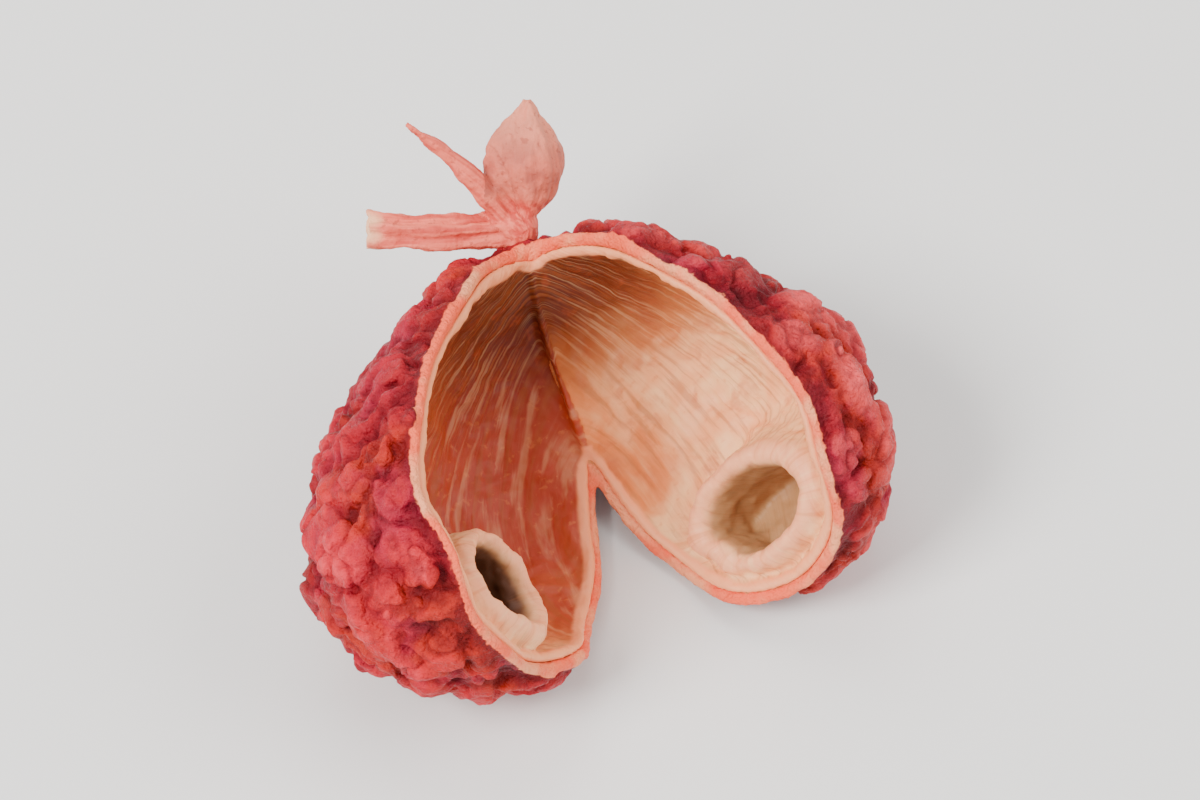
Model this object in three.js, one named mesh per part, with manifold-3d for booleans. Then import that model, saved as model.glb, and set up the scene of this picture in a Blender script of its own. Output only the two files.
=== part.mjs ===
// A dried Sichuan peppercorn: one small fruit that has split along its front and over its tip into
// two valves, still joined along the back at the stalk end. Millimetres, +Z up.
// The husk lies on its back with the opening up and the stalk end towards +Y.
import * as THREE from "three";
import { mergeVertices } from "three/addons/utils/BufferGeometryUtils.js";
import Module from "manifold-3d";

const wasm = await Module();
wasm.setup();

// Driving dimensions of the husk, in millimetres and degrees
const valveLength = 3.5; // one valve, from its stalk end to its tip
const tipSwell = 0.13; // how much fatter a valve is towards its tip, as a share
const stalkOffset = 0.12; // a valve's narrow end, from the middle
const wallThickness = 0.3; // the red outer wall
const rimThickness = 0.14; // the same wall where it has split
const glandSpacing = 0.5; // between the oil glands that stand out as warts
const glandHeight = 0.11;
const joinOverlap = 0.04; // how far each valve runs past the middle, where the two are one
const joinReach = 24; // how much further round the wall reaches where the valves are joined
const tipDip = 12; // how much less far the wall reaches round at the tip
const rimWave = 1.5; // how far the rim waves in and out
const restTilt = 15; // the opening leans this far towards the tip end
const flatDepth = 0.12; // how far the lowest warts are pressed flat

// The lining, in millimetres
const liningGap = 0.05; // clear of the wall that it has dried away from
const liningThickness = 0.13;
const liningRim = 0.1; // the same layer at its edge
const liningJoinReach = 34; // it turns further in than the wall to meet its other half, in degrees
const hollowTop = -0.1; // the curls may stand this much proud of the opening, as a share of its depth

// Near each tip the lining has come up off the wall and rolled into a short open mouth. A curl's
// outline gives its distance from the middle of the mouth, in millimetres, and its depth below the
// opening, as a share of the hollow's. The roll closes in by curlStep over one turn, to a free edge.
const curlOutline = [
  [0, 0.82],
  [0.2, 0.8],
  [0.3, 0.66],
  [0.34, 0.36],
  [0.36, 0.12],
  [0.4, 0.03],
  [0.47, 0],
  [0.54, 0.05],
  [0.62, 0.22],
  [0.76, 0.46],
  [0.96, 0.7],
  [1.2, 0.95],
  [1.3, 1.3],
  [0, 1.3],
];
const curlStep = 0.24;

// The parts at the stalk end, in millimetres and degrees
const knobRadius = 0.18; // the swollen end that the husk sits on
const stalkDiameter = 0.3;
const stalkLength = 1.25;
const budLength = 0.95; // an undeveloped fruit beside the husk
const budWidth = 0.68;
const budThickness = 0.5;
const budTurn = -23; // to the right, seen from above
const scaleLength = 1.25; // a thin dry scale
const scaleWidth = 0.2;
const scaleTurn = 36;
const leanBack = 56; // how far the bud and the scale lean back from upright

// The two valves: side is +1 to the right, radius is half of one valve measured across, tipOut and
// tipRise place its tip, bow is how far it bends outward between its ends, roll is how far it has turned
// open, rimAngle is how far round its wall reaches, and frontReach how much further at the front margin.
// A curl is placed along the valve and across it, from -1 to 1, with its width as a share of its length.
const valves = [
  {
    side: -1,
    radius: 1.62,
    tipOut: 1.1,
    tipRise: 0.3,
    bow: 0.42,
    roll: 56,
    rimAngle: 94,
    frontReach: 0,
    seed: 11,
    curl: { place: 0.56, across: 0.2, size: 1.0, width: 1.1, turn: 25, start: 150 },
  },
  {
    side: 1,
    radius: 1.3,
    tipOut: 0.9,
    tipRise: -0.14,
    bow: 0.29,
    roll: 56,
    rimAngle: 94,
    frontReach: 12,
    seed: 29,
    curl: { place: 0.56, across: -0.06, size: 0.98, width: 1.5, turn: 0, start: 200 },
  },
];

const { clamp, degToRad: radians, euclideanModulo, lerp, smoothstep } = THREE.MathUtils;

// The same numbers on every run
function seededRandom(seed) {
  let state = seed;
  return () => {
    state = (state * 1664525 + 1013904223) >>> 0;
    return state / 4294967296;
  };
}

// Geometry to solid, solid to geometry
function solidFrom(geometry) {
  geometry.deleteAttribute("normal");
  geometry.deleteAttribute("uv");
  const merged = mergeVertices(geometry, 1e-5);
  const whole = [];
  const index = merged.index.array;
  for (let i = 0; i < index.length; i += 3) {
    const [a, b, c] = [index[i], index[i + 1], index[i + 2]];
    if (a !== b && b !== c && c !== a) whole.push(a, b, c);
  }
  return new wasm.Manifold(
    new wasm.Mesh({
      numProp: 3,
      vertProperties: merged.attributes.position.array,
      triVerts: new Uint32Array(whole),
    }),
  );
}

// A hollow that joining has sealed is filled, and a loose scrap is dropped
function oneBody(solid) {
  return solid.decompose().reduce((largest, body) => (body.volume() > largest.volume() ? body : largest));
}

function geometryFrom(solid) {
  const mesh = solid.getMesh();
  const geometry = new THREE.BufferGeometry();
  geometry.setAttribute("position", new THREE.BufferAttribute(mesh.vertProperties, 3));
  geometry.setIndex(new THREE.BufferAttribute(mesh.triVerts, 1));
  return geometry;
}

// Warts: places spread evenly over a valve's outer face, each nudged, with a rounded dome round each
function glandPlaces(valve, sheet) {
  const random = seededRandom(valve.seed);
  const golden = Math.PI * (3 - Math.sqrt(5));
  const area = 2.2 * Math.PI * valve.radius * (valveLength / 2); // a little over half an ovoid's
  const count = Math.round(area / (0.87 * glandSpacing ** 2)); // as many as close packing allows
  const places = [];
  for (let i = 0; i < count; i++) {
    const share = Math.sqrt((i + 0.5) / count);
    const nudge = new THREE.Vector3(random() - 0.5, random() - 0.5, random() - 0.5);
    const centre = facePoint(valve, sheet, share, golden * i).addScaledVector(nudge, 0.5 * glandSpacing);
    places.push({ centre, size: 0.75 + 0.5 * random() });
  }
  return places;
}

function glandRelief(point, glands) {
  let highest = 0;
  for (const { centre, size } of glands) {
    const distance = point.distanceTo(centre) / (0.62 * glandSpacing * size);
    if (distance < 1) highest = Math.max(highest, (1 - distance * distance) * size);
  }
  return glandHeight * (highest - 0.35);
}

// How far round the sheet reaches from the middle of its back, by the direction around it:
// turn is 0 at the front margin, a quarter at the tip, a half at the back, three quarters at the stalk.
function reachAt(valve, sheet, share, turn) {
  const front = Math.max(0, Math.cos(turn));
  const tip = Math.max(0, Math.sin(turn));
  const stalk = Math.max(0, -Math.sin(turn));
  const back = Math.max(0, -Math.cos(turn));
  const joined = smoothstep(stalk, ...sheet.joinFrom) * smoothstep(back, 0, 0.3);
  const waves = Math.sin(5 * turn + valve.seed) + 0.7 * Math.sin(9 * turn + 2 * valve.seed);
  const rim = valve.rimAngle + valve.frontReach * front * front - tipDip * tip * tip + rimWave * waves;
  return radians(share * rim + share ** 4 * sheet.joinReach * joined);
}

// A point of a valve: place runs from -1 at the stalk to 1 at the tip, across from -1 at the back
// margin to 1 at the front margin, and depth from 0 at the opening to 1 at the back
function inValve(valve, place, across, depth, inset) {
  const roll = radians(valve.roll);
  const y = depth * Math.sin(roll) + across * Math.cos(roll);
  const z = -depth * Math.cos(roll) + across * Math.sin(roll);
  const radius = valve.radius * (1 + tipSwell * place) - inset;
  const along = (1 + place) / 2;
  const out = lerp(stalkOffset, valve.tipOut, along) + valve.bow * (1 - place * place);
  return new THREE.Vector3(
    valve.side * (out + radius * y),
    -(valveLength / 2 - inset) * place,
    valve.tipRise * along + radius * z,
  );
}

// A point of the sheet's outer face: share runs from the back's middle to the rim, turn goes round
function facePoint(valve, sheet, share, turn) {
  const reach = reachAt(valve, sheet, share, turn);
  const ring = Math.sin(reach);
  return inValve(valve, ring * Math.sin(turn), ring * Math.cos(turn), Math.cos(reach), sheet.inset(share));
}

// The direction straight in from the outer face
function inward(valve, sheet, share, turn) {
  const step = 0.01;
  const from = Math.max(share, 2 * step);
  const at = (nearShare, nearTurn) => facePoint(valve, sheet, nearShare, nearTurn);
  const outwards = at(from + step, turn).sub(at(from - step, turn));
  const round = at(from, turn + step).sub(at(from, turn - step));
  return round.cross(outwards).multiplyScalar(valve.side).normalize();
}

// A closed sheet in the shape of one valve. It starts as a flat round disc: the distance from the
// disc's middle is the share of the way to the rim, and its height picks the outer or inner face.
// With toOpening it is the whole hollow instead, up to the opening.
function valveSheet(valve, sheet) {
  const rimBulge = 1.012; // the edge is rounded
  const profile = [];
  for (let i = 0; i <= sheet.outerRings; i++) profile.push(new THREE.Vector2(i / sheet.outerRings, 0));
  profile.push(new THREE.Vector2(rimBulge, 0.5));
  for (let i = sheet.innerRings; i >= 0; i--) profile.push(new THREE.Vector2(i / sheet.innerRings, 1));
  const disc = new THREE.LatheGeometry(profile, sheet.around);
  const position = disc.attributes.position;
  const point = new THREE.Vector3();
  for (let i = 0; i < position.count; i++) {
    point.fromBufferAttribute(position, i);
    const share = Math.hypot(point.x, point.z);
    const turn = share < 1e-6 ? 0 : Math.atan2(point.x, point.z);
    let placed = facePoint(valve, sheet, share, turn);
    if (sheet.toOpening && point.y === 1) {
      const ring = Math.sin(Math.min(reachAt(valve, sheet, share, turn), Math.PI / 2));
      placed = inValve(valve, ring * Math.sin(turn), ring * Math.cos(turn), hollowTop, sheet.inset(share));
    } else {
      const bump = point.y === 0 ? sheet.relief(placed, share) : 0;
      const depth = sheet.thickness(Math.min(share, 1)) * point.y - bump;
      placed.addScaledVector(inward(valve, sheet, share, turn), depth);
    }
    position.setXYZ(i, placed.x, placed.y, placed.z);
  }
  return outwardSolid(disc);
}

function outwardSolid(geometry) {
  const solid = solidFrom(geometry);
  if (solid.volume() > 0) return solid;
  const index = geometry.index.array;
  for (let i = 0; i < index.length; i += 3) [index[i + 1], index[i + 2]] = [index[i + 2], index[i + 1]];
  return solidFrom(geometry);
}

// Each valve stops just past the middle, so the two join in one line along the back
function trimAtMiddle(solid, valve) {
  const size = 12;
  const block = new THREE.BoxGeometry(size, size, size);
  block.translate(valve.side * (size / 2 - joinOverlap), 0, 0);
  return solid.intersect(solidFrom(block));
}

const wallAt = (share) => lerp(wallThickness, rimThickness, share ** 4);

function makeHusk() {
  const halves = valves.map((valve) => {
    const sheet = {
      outerRings: 18,
      innerRings: 9,
      around: 56,
      joinReach,
      joinFrom: [0, 0.28],
      inset: () => 0,
      thickness: wallAt,
    };
    const glands = glandPlaces(valve, sheet);
    const fade = (share) => clamp((1 - share) * 9, 0, 1);
    sheet.relief = (point, share) => fade(share) * glandRelief(point, glands);
    return trimAtMiddle(valveSheet(valve, sheet), valve);
  });
  return halves[0].add(halves[1]);
}

// One rolled mouth, cut off where it meets the wall
function makeCurl(valve, sheet) {
  const { place, across, size, width, turn, start } = valve.curl;
  const profile = curlOutline.map(([out, depth]) => new THREE.Vector2(out, depth));
  const curl = new THREE.LatheGeometry(profile, 28);
  const position = curl.attributes.position;
  for (let i = 0; i < position.count; i++) {
    const [x, depth, z] = [position.getX(i), position.getY(i), position.getZ(i)];
    const angle = Math.atan2(x, z);
    const rolled = euclideanModulo(angle - radians(start), 2 * Math.PI) / (2 * Math.PI);
    const out = size * Math.hypot(x, z) * (1 - curlStep * rolled);
    const [u, v] = [out * Math.sin(angle), width * out * Math.cos(angle)];
    const lean = radians(turn);
    const alongBy = (u * Math.cos(lean) - v * Math.sin(lean)) / (valveLength / 2);
    const acrossBy = (u * Math.sin(lean) + v * Math.cos(lean)) / valve.radius;
    const placed = inValve(valve, place + alongBy, across + acrossBy, depth, 0);
    position.setXYZ(i, placed.x, placed.y, placed.z);
  }
  const solid = outwardSolid(curl);
  const hollow = valveSheet(valve, { ...sheet, toOpening: true });
  return solid.intersect(hollow);
}

function makeLining() {
  const halves = valves.map((valve) => {
    const sheet = {
      outerRings: 10,
      innerRings: 10,
      around: 48,
      joinReach: liningJoinReach,
      joinFrom: [0.05, 0.45],
      inset: (share) => wallAt(Math.min(share, 1)) + liningGap,
      thickness: (share) => lerp(liningThickness, liningRim, share),
      relief: () => 0,
    };
    return trimAtMiddle(valveSheet(valve, sheet).add(makeCurl(valve, sheet)), valve);
  });
  return halves[0].add(halves[1]);
}

function tubeAlong(points, radius, sides, steps) {
  const section = new THREE.Shape();
  section.absarc(0, 0, radius, 0, 2 * Math.PI);
  return new THREE.ExtrudeGeometry(section, {
    steps,
    curveSegments: sides,
    extrudePath: new THREE.CatmullRomCurve3(points),
  });
}

// Outlines run from the root to the point, as shares of the half width and of the length
const budOutline = [[0, 0], [0.45, 0.03], [0.78, 0.2], [1, 0.46], [0.72, 0.72], [0.28, 0.92], [0, 1]];
const scaleOutline = [[0, 0], [1, 0.02], [0.9, 0.4], [0.5, 0.8], [0.15, 0.98], [0, 1]];

function profileFrom(outline, width, length) {
  return outline.map(([out, up]) => new THREE.Vector2((out * width) / 2, up * length));
}

function makeStalk() {
  const seat = new THREE.Vector3(0, valveLength / 2 + knobRadius + 0.03, 0.02);
  const knob = new THREE.SphereGeometry(knobRadius, 16, 10);
  knob.translate(seat.x, seat.y, seat.z);
  const bend = seat.clone().add(new THREE.Vector3(-0.5 * stalkLength, 0.16, 0.08));
  const end = seat.clone().add(new THREE.Vector3(-0.93 * stalkLength, 0.4, 0.06));
  const stem = tubeAlong([seat, bend, end], stalkDiameter / 2, 10, 8);

  const bud = new THREE.LatheGeometry(profileFrom(budOutline, budWidth, budLength), 12);
  bud.scale(1, 1, budThickness / budWidth);
  bud.rotateX(radians(90 - leanBack));
  bud.rotateZ(radians(budTurn));
  bud.translate(seat.x + 0.08, seat.y + 0.08, seat.z + 0.08);

  const scale = new THREE.LatheGeometry(profileFrom(scaleOutline, scaleWidth, scaleLength), 8);
  scale.rotateX(radians(90 - leanBack));
  scale.rotateZ(radians(scaleTurn));
  scale.translate(seat.x - 0.06, seat.y + 0.05, seat.z + 0.1);

  return [stem, bud, scale].reduce((whole, piece) => whole.add(solidFrom(piece)), solidFrom(knob));
}

// The husk leans, is pressed flat where it lies, and then stands on its own ground
const group = new THREE.Group();
const tilt = radians(restTilt);

function addPiece(name, solid, look) {
  const geometry = geometryFrom(oneBody(solid));
  geometry.rotateX(tilt);
  const mesh = new THREE.Mesh(geometry, new THREE.MeshStandardMaterial(look));
  mesh.name = name;
  group.add(mesh);
  return mesh;
}

const husk = addPiece("husk", makeHusk(), { color: 0xb5343f, roughness: 0.6, metalness: 0 });
addPiece("lining", makeLining(), { color: 0xe8cfa4, roughness: 0.45, metalness: 0 });
addPiece("stalk", makeStalk(), { color: 0xc98a76, roughness: 0.7, metalness: 0 });

husk.geometry.computeBoundingBox();
const ground = husk.geometry.boundingBox.min.z + flatDepth;
const skin = husk.geometry.attributes.position;
for (let i = 0; i < skin.count; i++) skin.setZ(i, Math.max(skin.getZ(i), ground));

husk.geometry.computeBoundingBox();

const box = new THREE.Box3().setFromObject(group);
const centre = box.getCenter(new THREE.Vector3());
group.position.set(-centre.x, -centre.y, -ground);

export default group;
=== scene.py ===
import math

import bmesh
import bpy
import numpy as np
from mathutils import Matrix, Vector
from mathutils.kdtree import KDTree


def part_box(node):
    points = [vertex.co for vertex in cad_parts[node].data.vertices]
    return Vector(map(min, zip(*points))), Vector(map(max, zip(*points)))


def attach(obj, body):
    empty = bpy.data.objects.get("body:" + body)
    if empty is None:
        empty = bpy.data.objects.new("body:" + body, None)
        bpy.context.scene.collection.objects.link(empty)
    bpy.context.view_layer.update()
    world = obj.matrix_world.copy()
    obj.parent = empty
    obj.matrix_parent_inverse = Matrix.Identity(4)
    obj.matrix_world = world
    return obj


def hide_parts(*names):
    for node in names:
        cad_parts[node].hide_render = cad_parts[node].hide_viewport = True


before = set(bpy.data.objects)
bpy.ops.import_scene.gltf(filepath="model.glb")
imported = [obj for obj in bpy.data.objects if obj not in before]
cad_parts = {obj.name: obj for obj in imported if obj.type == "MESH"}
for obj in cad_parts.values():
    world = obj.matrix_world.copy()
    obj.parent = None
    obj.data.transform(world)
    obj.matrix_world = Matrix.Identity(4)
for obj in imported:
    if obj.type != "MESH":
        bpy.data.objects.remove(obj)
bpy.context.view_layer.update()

# A dried Sichuan peppercorn. Everything is shaped in millimetres and made metres at the end.
metresPerMm = 0.001
print("stage: frame loaded")

# The fruit's own shape, in millimetres and degrees, the same as in the frame
fruit = {
    "valveLength": 3.5,
    "tipSwell": 0.13,
    "stalkOffset": 0.12,
    "wall": 0.3,
    "wallRim": 0.1,
    "joinOverlap": 0.04,
    "tipDip": 12,
    "rimWave": 1.5,
    "restTilt": 15,
    "glandSpacing": 0.5,
}
# Each valve, the rolled mouth in its lining, and where its paper is stained: the ranges of place and
# across over which the stain fades, and how wide a ring round the mouth stays clear
valves = [
    {
        "side": -1, "radius": 1.62, "tipOut": 1.1, "tipRise": 0.3, "bow": 0.42,
        "roll": 56, "rimAngle": 94, "frontReach": 0, "seed": 11,
        "curl": {"place": 0.56, "across": 0.2, "size": 1.0, "width": 1.1, "turn": 25, "start": 150},
        "stain": {"place": (0.0, 0.75), "across": (-0.9, 0.6), "clear": 0.8},
    },
    {
        "side": 1, "radius": 1.3, "tipOut": 0.9, "tipRise": -0.14, "bow": 0.29,
        "roll": 56, "rimAngle": 94, "frontReach": 12, "seed": 29,
        "curl": {"place": 0.56, "across": -0.06, "size": 0.98, "width": 1.5, "turn": 0, "start": 200},
        "stain": {"place": (-0.95, -0.15), "across": (-1.1, -0.35), "clear": 0.9},
    },
]


# Colours, nodes and small mesh helpers
def colour(hexCode):
    parts = [int(hexCode[i:i + 2], 16) / 255 for i in (1, 3, 5)]
    linear = [p / 12.92 if p <= 0.04045 else ((p + 0.055) / 1.055) ** 2.4 for p in parts]
    return (*linear, 1.0)


# An input is a plain value or the socket that feeds it
def addNode(tree, kind, inputs=None, out=0, **settings):
    node = tree.nodes.new(kind)
    for name, value in settings.items():
        setattr(node, name, value)
    for key, value in (inputs or {}).items():
        if isinstance(value, bpy.types.NodeSocket):
            tree.links.new(value, node.inputs[key])
        else:
            node.inputs[key].default_value = value
    return node.outputs[out] if node.outputs else node


# A tree with its named inputs, given as kind=[labels], and where a modifier finds each of them
def newTree(name, **wanted):
    tree = bpy.data.node_groups.new(name, "GeometryNodeTree")
    sockets = {}
    for kind, labels in {"Geometry": ["Geometry"], **wanted, "Material": ["Material"]}.items():
        for label in labels:
            socket = tree.interface.new_socket(label, in_out="INPUT", socket_type="NodeSocket" + kind)
            sockets[label] = socket.identifier
    tree.interface.new_socket("Geometry", in_out="OUTPUT", socket_type="NodeSocketGeometry")
    return tree, sockets, tree.nodes.new("NodeGroupInput").outputs


def endTree(tree, geometry, material):
    real = addNode(tree, "GeometryNodeRealizeInstances", {"Geometry": geometry})
    clad = addNode(tree, "GeometryNodeSetMaterial", {"Geometry": real, "Material": material})
    addNode(tree, "NodeGroupOutput", {"Geometry": clad})


# Moves a surface out along its normals, as the last thing that a tree does
def liftSkin(tree, geometry, lift, material):
    normal = addNode(tree, "GeometryNodeInputNormal")
    offset = addNode(tree, "ShaderNodeVectorMath", {0: normal, "Scale": lift}, operation="SCALE")
    moved = addNode(tree, "GeometryNodeSetPosition", {"Geometry": geometry, "Offset": offset})
    endTree(tree, moved, material)


# Soft noise about zero, of the size that the input named for it gives: heights, or else directions
def cloudOf(tree, given, label, where, detail, bend=0.0, heights=True):
    often = addNode(tree, "ShaderNodeMath", {0: 1.0, 1: given[label + " size"]}, operation="DIVIDE")
    cloud = addNode(tree, "ShaderNodeTexNoise", {
        "Vector": where, "Scale": often, "Detail": detail, "Distortion": bend,
    }, out="Fac" if heights else "Color")
    kind, half = ("ShaderNodeMath", 0.5) if heights else ("ShaderNodeVectorMath", (0.5, 0.5, 0.5))
    return addNode(tree, kind, {0: cloud, 1: half}, operation="SUBTRACT")


def smoothStep(value, low, high):
    t = np.clip((value - low) / (high - low), 0, 1)
    return t * t * (3 - 2 * t)


# A smooth line through a few points, with so many steps from one to the next
def smoothLine(points, steps):
    p = np.array(points, dtype=float)
    padded = np.vstack([2 * p[0] - p[1], p, 2 * p[-1] - p[-2]])
    t = np.linspace(0, 1, steps, endpoint=False)[:, None]
    runs = []
    for i in range(len(p) - 1):
        a, b, c, d = padded[i:i + 4]
        bend = (2 * a - 5 * b + 4 * c - d) * t ** 2 + (3 * b - a - 3 * c + d) * t ** 3
        runs.append(b + 0.5 * ((c - a) * t + bend))
    return np.vstack([*runs, p[-1:]])


def addObject(name, data):
    thing = bpy.data.objects.new(name, data)
    bpy.context.scene.collection.objects.link(thing)
    return thing


def meshObject(name, points, faces):
    mesh = bpy.data.meshes.new(name)
    mesh.from_pydata(points.tolist(), [], faces)
    mesh.validate()
    return addObject(name, mesh)


def plainMesh(thing):
    bpy.context.view_layer.update()
    graph = bpy.context.evaluated_depsgraph_get()
    made = thing.evaluated_get(graph)
    return bpy.data.meshes.new_from_object(made, preserve_all_data_layers=True, depsgraph=graph)


def bake(thing):
    made = plainMesh(thing)
    thing.modifiers.clear()
    old = thing.data
    thing.data = made
    bpy.data.meshes.remove(old)
    return thing


# Adds a tree to a piece, with each input taken from the setting named for it: "Wart width" is wartWidth
def grow(thing, grown, settings):
    tree, sockets = grown
    growth = thing.modifiers.new(tree.name, "NODES")
    growth.node_group = tree
    for label, identifier in sockets.items():
        setting = label[0].lower() + label.title().replace(" ", "")[1:]
        if setting in settings:
            growth[identifier] = settings[setting]


def combine(thing, other, operation):
    joint = thing.modifiers.new("join", "BOOLEAN")
    joint.object = other
    joint.operation = operation
    joint.solver = "MANIFOLD"
    bake(thing)
    bpy.data.objects.remove(other)
    return thing


# Keeps the largest connected shape, without the crumbs that a remesh can leave beside or inside it
def withoutCrumbs(thing):
    shape = bmesh.new()
    shape.from_mesh(thing.data)
    unseen = set(shape.verts)
    groups = []
    while unseen:
        group, waiting = [], [unseen.pop()]
        while waiting:
            vert = waiting.pop()
            group.append(vert)
            for link in vert.link_edges:
                other = link.other_vert(vert)
                if other in unseen:
                    unseen.remove(other)
                    waiting.append(other)
        groups.append(group)
    groups.sort(key=len)
    crumbs = [vert for group in groups[:-1] for vert in group]
    bmesh.ops.delete(shape, geom=crumbs, context="VERTS")
    shape.to_mesh(thing.data)
    shape.free()
    return thing


def evenMesh(thing, voxel, rounds):
    remesh = thing.modifiers.new("even", "REMESH")
    remesh.mode = "VOXEL"
    remesh.voxel_size = voxel
    smooth = thing.modifiers.new("smooth", "SMOOTH")
    smooth.factor = 0.5
    smooth.iterations = rounds
    return withoutCrumbs(bake(thing))


# Fewer triangles where the surface is plain
def thinMesh(thing, most):
    thing.data.calc_loop_triangles()
    thinner = thing.modifiers.new("thinner", "DECIMATE")
    thinner.ratio = min(1.0, most / len(thing.data.loop_triangles))
    return bake(thing)


def coordinates(mesh):
    flat = np.empty(len(mesh.vertices) * 3)
    mesh.vertices.foreach_get("co", flat)
    return flat.reshape(-1, 3)


def writeAttribute(mesh, name, values):
    layer = mesh.attributes.get(name) or mesh.attributes.new(name, "FLOAT", "POINT")
    layer.data.foreach_set("value", np.asarray(values, dtype=np.float32))


# Evens values out along the mesh, each vertex with its neighbours
def blurred(mesh, values, rounds):
    ends = np.empty(len(mesh.edges) * 2, dtype=np.int32)
    mesh.edges.foreach_get("vertices", ends)
    a, b = ends.reshape(-1, 2).T
    count = len(mesh.vertices)
    shared = np.bincount(a, minlength=count) + np.bincount(b, minlength=count)
    for _ in range(rounds):
        total = np.bincount(a, values[b], count) + np.bincount(b, values[a], count)
        values = 0.5 * values + 0.5 * total / np.maximum(shared, 1)
    return values


# What each new vertex is nearest to, among points whose values are known
def nearestOf(points, known):
    tree = KDTree(len(known))
    for i, point in enumerate(known):
        tree.insert(point, i)
    tree.balance()
    return np.array([tree.find(point)[1] for point in points])


def outward(thing):
    mesh = thing.data
    points = coordinates(mesh)
    mesh.calc_loop_triangles()
    corners = np.empty(len(mesh.loop_triangles) * 3, dtype=np.int32)
    mesh.loop_triangles.foreach_get("vertices", corners)
    a, b, c = (points[corners.reshape(-1, 3)[:, i]] for i in range(3))
    if np.einsum("ij,ij->i", a, np.cross(b, c)).sum() < 0:
        mesh.flip_normals()
    return thing


# Rings of points between two end points, closed into one skin
def ringFaces(ringCount, around, last):
    pairs = [(k, (k + 1) % around) for k in range(around)]
    faces = [(0, 1 + k, 1 + n) for k, n in pairs]
    for ring in range(ringCount - 1):
        low, high = 1 + ring * around, 1 + (ring + 1) * around
        faces += [(low + k, high + k, high + n, low + n) for k, n in pairs]
    low = 1 + (ringCount - 1) * around
    return faces + [(low + k, last, low + n) for k, n in pairs]


# The valves' shape, by formula
def reachAt(valve, sheet, share, turn):
    front = np.maximum(0, np.cos(turn))
    tip = np.maximum(0, np.sin(turn))
    stalk = np.maximum(0, -np.sin(turn))
    back = np.maximum(0, -np.cos(turn))
    joined = smoothStep(stalk, *sheet["joinFrom"]) * smoothStep(back, 0, 0.3)
    waves = np.sin(5 * turn + valve["seed"]) + 0.7 * np.sin(9 * turn + 2 * valve["seed"])
    rim = valve["rimAngle"] + valve["frontReach"] * front * front
    rim = rim - fruit["tipDip"] * tip * tip + fruit["rimWave"] * waves
    return np.radians(share * rim + share ** 4 * sheet["joinReach"] * joined)


# The middle line of a valve at a place along it: how far out and up it lies, and how wide the valve is
def spineAt(valve, place):
    along = (1 + place) / 2
    out = fruit["stalkOffset"] + (valve["tipOut"] - fruit["stalkOffset"]) * along
    out = out + valve["bow"] * (1 - place * place)
    return out, valve["tipRise"] * along, valve["radius"] * (1 + fruit["tipSwell"] * place)


# Place runs from -1 at the stalk to 1 at the tip, across from -1 at the back margin to 1 at the front
# margin, and depth from 0 at the opening to 1 at the back
def inValve(valve, place, across, depth, inset):
    roll = math.radians(valve["roll"])
    y = depth * math.sin(roll) + across * math.cos(roll)
    z = -depth * math.cos(roll) + across * math.sin(roll)
    out, rise, width = spineAt(valve, place)
    radius = width - inset
    length = fruit["valveLength"] / 2 - inset
    return np.stack([valve["side"] * (out + radius * y), -length * place, rise + radius * z], axis=-1)


def facePoint(valve, sheet, share, turn):
    reach = reachAt(valve, sheet, share, turn)
    ring = np.sin(reach)
    inset = sheet["inset"](share)
    return inValve(valve, ring * np.sin(turn), ring * np.cos(turn), np.cos(reach), inset)


def inward(valve, sheet, share, turn):
    step = 0.01
    start = np.maximum(share, 2 * step)
    outwards = facePoint(valve, sheet, start + step, turn) - facePoint(valve, sheet, start - step, turn)
    around = facePoint(valve, sheet, start, turn + step) - facePoint(valve, sheet, start, turn - step)
    normal = valve["side"] * np.cross(around, outwards)
    return normal / np.linalg.norm(normal, axis=-1, keepdims=True)


# A sheet starts as a flat round disc, closed on itself, whose rings become its two faces and its rim
def valveSheet(valve, sheet, name, toOpening=False):
    rings, around = sheet["rings"], sheet["around"]
    edge = np.linspace(0, 1, sheet["edgeRings"] + 2)[1:-1]
    rounded = 1 + sheet["rimBulge"] * np.sin(np.pi * edge)
    outer = np.linspace(0, 1, rings + 1)[1:]
    inner = np.linspace(1, 0, rings + 1)[:-1]
    shares = np.concatenate([outer, rounded, inner])
    levels = np.concatenate([np.zeros(rings), edge, np.ones(rings)])
    turns = np.arange(around) / around * 2 * np.pi
    share = np.concatenate([[0], np.repeat(shares, around), [0]])
    level = np.concatenate([[0], np.repeat(levels, around), [1]])
    turn = np.concatenate([[0], np.tile(turns, len(shares)), [0]])
    depth = sheet["thickness"](np.minimum(share, 1)) * level
    points = facePoint(valve, sheet, share, turn) + inward(valve, sheet, share, turn) * depth[:, None]
    if toOpening:
        ring = np.sin(np.minimum(reachAt(valve, sheet, share, turn), np.pi / 2))
        along, aside = ring * np.sin(turn), ring * np.cos(turn)
        top = inValve(valve, along, aside, sheet["hollowTop"], sheet["inset"](share))
        points = np.where(level[:, None] == 1, top, points)
    faces = ringFaces(len(shares), around, len(share) - 1)
    return outward(meshObject(name, points, faces)), points, share, level


# Cuts off what reaches past the middle, but for a little that overlaps with the other valve
def trimAtMiddle(thing, valve):
    wide = 12  # more than twice what the fruit is across
    corners = np.array([(x, y, z) for x in (0, 1) for y in (-0.5, 0.5) for z in (-0.5, 0.5)]) * wide
    corners[:, 0] = valve["side"] * (corners[:, 0] - fruit["joinOverlap"])
    sides = [(0, 1, 3, 2), (4, 6, 7, 5), (0, 4, 5, 1), (2, 3, 7, 6), (0, 2, 6, 4), (1, 5, 7, 3)]
    return combine(thing, outward(meshObject("block", corners, sides)), "INTERSECT")


# Points that the trim leaves, so no vertex is matched with one from the other valve
def onOwnSide(valve, points):
    return valve["side"] * points[:, 0] > -fruit["joinOverlap"]


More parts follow.
